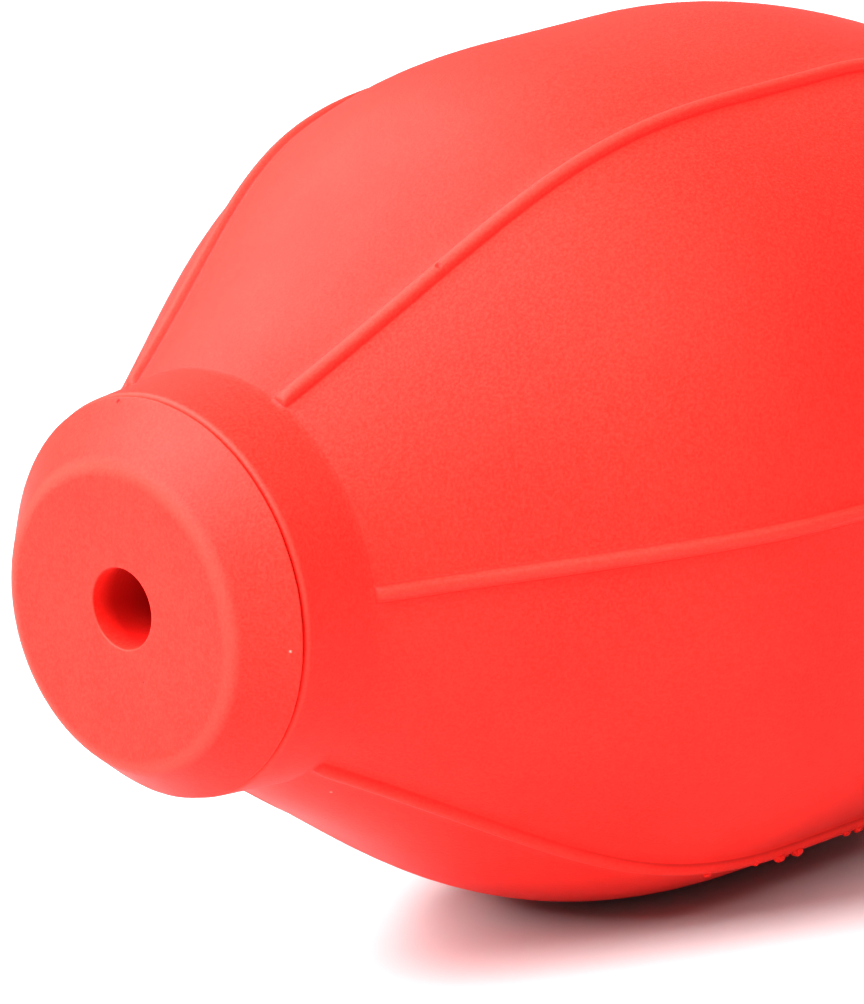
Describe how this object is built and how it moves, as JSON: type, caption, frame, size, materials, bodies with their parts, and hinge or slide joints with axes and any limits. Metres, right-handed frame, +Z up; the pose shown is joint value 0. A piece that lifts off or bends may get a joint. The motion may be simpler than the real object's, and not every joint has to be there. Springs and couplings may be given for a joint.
{
  "type": "dust blower bulb",
  "caption": "Ribbed rubber squeeze bulb on its side, with a one-way ball valve behind the hole in its rear cap and a tapered push-fit nozzle, for blowing dust off watch parts.",
  "frame": {"origin": "on the surface that the bulb lies on, under the middle of the whole length", "axes": "+X along the bulb's axis from the air intake to the nozzle's tip, +Z up, +Y to the left of +X"},
  "size_m": [0.1324, 0.0508, 0.05],
  "materials": {
    "red_rubber": "matte",
    "black_rubber": "matte",
    "black_plastic": "satin",
    "aluminium": "satin",
    "brass": "satin",
    "steel": "satin"
  },
  "bodies": {
    "bulb_body": {"bulb": "red_rubber", "intake_cap": "red_rubber", "dust_screen": "steel", "valve_body": "brass", "valve_retainer": "brass", "valve_spring": "steel"},
    "valve_ball": {"valve_ball": "steel"},
    "front_end": {"nozzle_socket": "aluminium"},
    "nozzle": {"nozzle": "black_plastic", "nozzle_seal": "black_rubber"}
  },
  "joints": [
    {"name": "bulb_squeeze", "type": "slide", "parent": "bulb_body", "child": "front_end", "axis": [-1, 0, 0], "range_m": [0, 0.012], "stiffness_N_per_m": 1200, "deforming": ["bulb"]},
    {"name": "valve_lift", "type": "slide", "parent": "bulb_body", "child": "valve_ball", "axis": [1, 0, 0], "range_m": [0, 0.0012], "stiffness_N_per_m": 20, "springref_m": -0.001, "deforming": ["valve_spring"]},
    {"name": "nozzle_pull", "type": "slide", "parent": "front_end", "child": "nozzle", "axis": [1, 0, 0], "range_m": [0, 0.011]}
  ]
}
